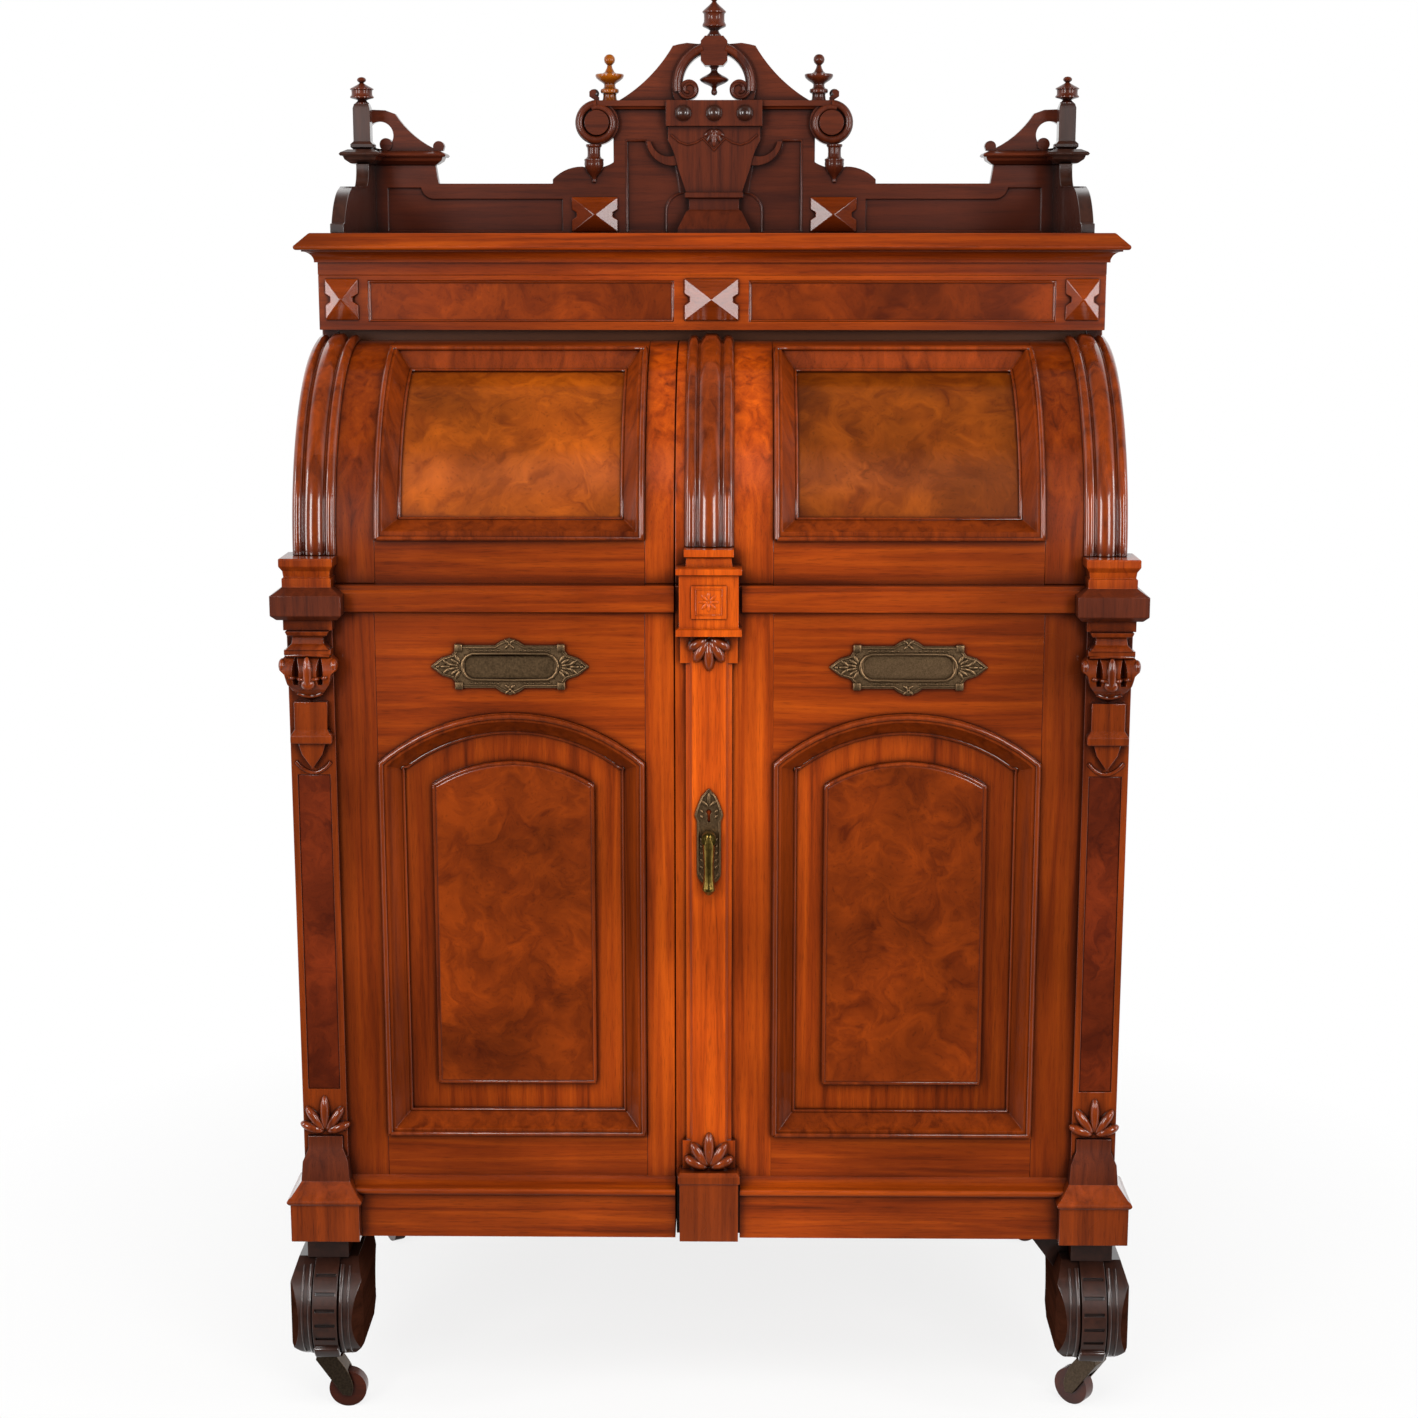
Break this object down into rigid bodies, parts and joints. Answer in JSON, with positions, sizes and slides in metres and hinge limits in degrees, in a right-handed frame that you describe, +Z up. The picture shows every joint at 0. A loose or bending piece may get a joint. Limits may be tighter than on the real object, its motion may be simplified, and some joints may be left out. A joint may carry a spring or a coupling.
{
  "type": "secretary desk",
  "caption": "Upright secretary desk with deep box doors under quarter-round panelled tops, drawers and racks inside, a carved gallery, and scroll feet on swivel casters.",
  "frame": {"origin": "on the floor, under the middle of the desk's outer box", "axes": "+Z up, +X to the viewer's right, +Y from the doors towards the back"},
  "size_m": [1.1, 0.692, 1.881],
  "materials": {
    "walnut": "French-polished walnut",
    "burl_veneer": "polished burl veneer",
    "dark_walnut": "dark polished walnut",
    "plain_walnut": "thinly varnished walnut",
    "brass": "worn brass",
    "bronze": "dark bronzed casting",
    "cast_iron": "dark cast iron",
    "wheel_wood": "turned hardwood",
    "leather": "dull green leather"
  },
  "bodies": {
    "case": {"case_sides": "walnut", "burl_panels": "burl_veneer", "case_shelves": "plain_walnut", "case_dividers": "plain_walnut", "case_back": "plain_walnut", "case_hinges": "brass", "frieze": "walnut", "cornice": "walnut", "nailhead_blocks": "dark_walnut", "gallery_boards": "dark_walnut", "gallery_mouldings": "dark_walnut", "gallery_scrolls": "dark_walnut", "crest_scroll": "dark_walnut", "crest_keystone": "dark_walnut", "finials": "dark_walnut", "drops_and_bosses": "dark_walnut", "writing_lid": "walnut", "lid_leather": "leather", "trestle_feet": "dark_walnut"},
    "left_door": {"left_stiles": "walnut", "left_rails": "walnut", "left_mouldings": "dark_walnut", "left_panel": "walnut", "left_burl": "burl_veneer", "left_side": "walnut", "left_rack": "plain_walnut", "left_corner_post": "walnut", "left_reeds": "dark_walnut", "left_carvings": "dark_walnut", "left_hinges": "brass", "left_letter_plate": "bronze"},
    "right_door": {"right_stiles": "walnut", "right_rails": "walnut", "right_mouldings": "dark_walnut", "right_panel": "walnut", "right_burl": "burl_veneer", "right_side": "walnut", "right_rack": "plain_walnut", "right_corner_post": "walnut", "right_reeds": "dark_walnut", "right_carvings": "dark_walnut", "right_hinges": "brass", "right_letter_plate": "bronze", "centre_pilaster": "walnut", "lock_plate": "bronze", "door_lock": "cast_iron"},
    "letter_flap": {"letter_flap": "bronze"},
    "lever": {"lever_handle": "brass"},
    "drawer_1": {"drawer_1": "plain_walnut"},
    "drawer_2": {"drawer_2": "plain_walnut"},
    "drawer_3": {"drawer_3": "plain_walnut"},
    "drawer_4": {"drawer_4": "plain_walnut"},
    "caster_front_left": {"caster_front_left": "cast_iron"},
    "wheel_front_left": {"wheel_front_left": "wheel_wood"},
    "caster_front_right": {"caster_front_right": "cast_iron"},
    "wheel_front_right": {"wheel_front_right": "wheel_wood"},
    "caster_rear_left": {"caster_rear_left": "cast_iron"},
    "wheel_rear_left": {"wheel_rear_left": "wheel_wood"},
    "caster_rear_right": {"caster_rear_right": "cast_iron"},
    "wheel_rear_right": {"wheel_rear_right": "wheel_wood"}
  },
  "joints": [
    {"name": "left_door_hinge", "type": "hinge", "parent": "case", "child": "left_door", "pos_m": [-0.5242, -0.0322, 0.708], "axis": [0, 0, -1], "range_deg": [0, 120]},
    {"name": "right_door_hinge", "type": "hinge", "parent": "case", "child": "right_door", "pos_m": [0.5242, -0.0322, 0.708], "axis": [0, 0, 1], "range_deg": [0, 120]},
    {"name": "lever_turn", "type": "hinge", "parent": "right_door", "child": "lever", "pos_m": [0, -0.32, 0.797], "axis": [0, 1, 0], "range_deg": [0, 90]},
    {"name": "letter_flap_hinge", "type": "hinge", "parent": "left_door", "child": "letter_flap", "pos_m": [-0.249, -0.308, 1.024], "axis": [1, 0, 0], "range_deg": [0, 75]},
    {"name": "drawer_1_slide", "type": "slide", "parent": "case", "child": "drawer_1", "axis": [0, -1, 0], "range_m": [0, 0.19]},
    {"name": "drawer_2_slide", "type": "slide", "parent": "case", "child": "drawer_2", "axis": [0, -1, 0], "range_m": [0, 0.19]},
    {"name": "drawer_3_slide", "type": "slide", "parent": "case", "child": "drawer_3", "axis": [0, -1, 0], "range_m": [0, 0.19]},
    {"name": "drawer_4_slide", "type": "slide", "parent": "case", "child": "drawer_4", "axis": [0, -1, 0], "range_m": [0, 0.19]},
    {"name": "swivel_front_left", "type": "hinge", "parent": "case", "child": "caster_front_left", "pos_m": [-0.511, -0.28, 0.076], "axis": [0, 0, 1], "continuous": true},
    {"name": "roll_front_left", "type": "hinge", "parent": "caster_front_left", "child": "wheel_front_left", "pos_m": [-0.484, -0.28, 0.025], "axis": [0, 1, 0], "continuous": true},
    {"name": "swivel_front_right", "type": "hinge", "parent": "case", "child": "caster_front_right", "pos_m": [0.511, -0.28, 0.076], "axis": [0, 0, 1], "continuous": true},
    {"name": "roll_front_right", "type": "hinge", "parent": "caster_front_right", "child": "wheel_front_right", "pos_m": [0.49032, -0.26264, 0.025], "axis": [-0.6428, -0.766, 0], "continuous": true},
    {"name": "swivel_rear_left", "type": "hinge", "parent": "case", "child": "caster_rear_left", "pos_m": [-0.511, 0.28, 0.076], "axis": [0, 0, 1], "continuous": true},
    {"name": "roll_rear_left", "type": "hinge", "parent": "caster_rear_left", "child": "wheel_rear_left", "pos_m": [-0.4975, 0.25662, 0.025], "axis": [0.866, 0.5, 0], "continuous": true},
    {"name": "swivel_rear_right", "type": "hinge", "parent": "case", "child": "caster_rear_right", "pos_m": [0.511, 0.28, 0.076], "axis": [0, 0, 1], "continuous": true},
    {"name": "roll_rear_right", "type": "hinge", "parent": "caster_rear_right", "child": "wheel_rear_right", "pos_m": [0.48653, 0.26859, 0.025], "axis": [0.4226, -0.9063, 0], "continuous": true}
  ]
}
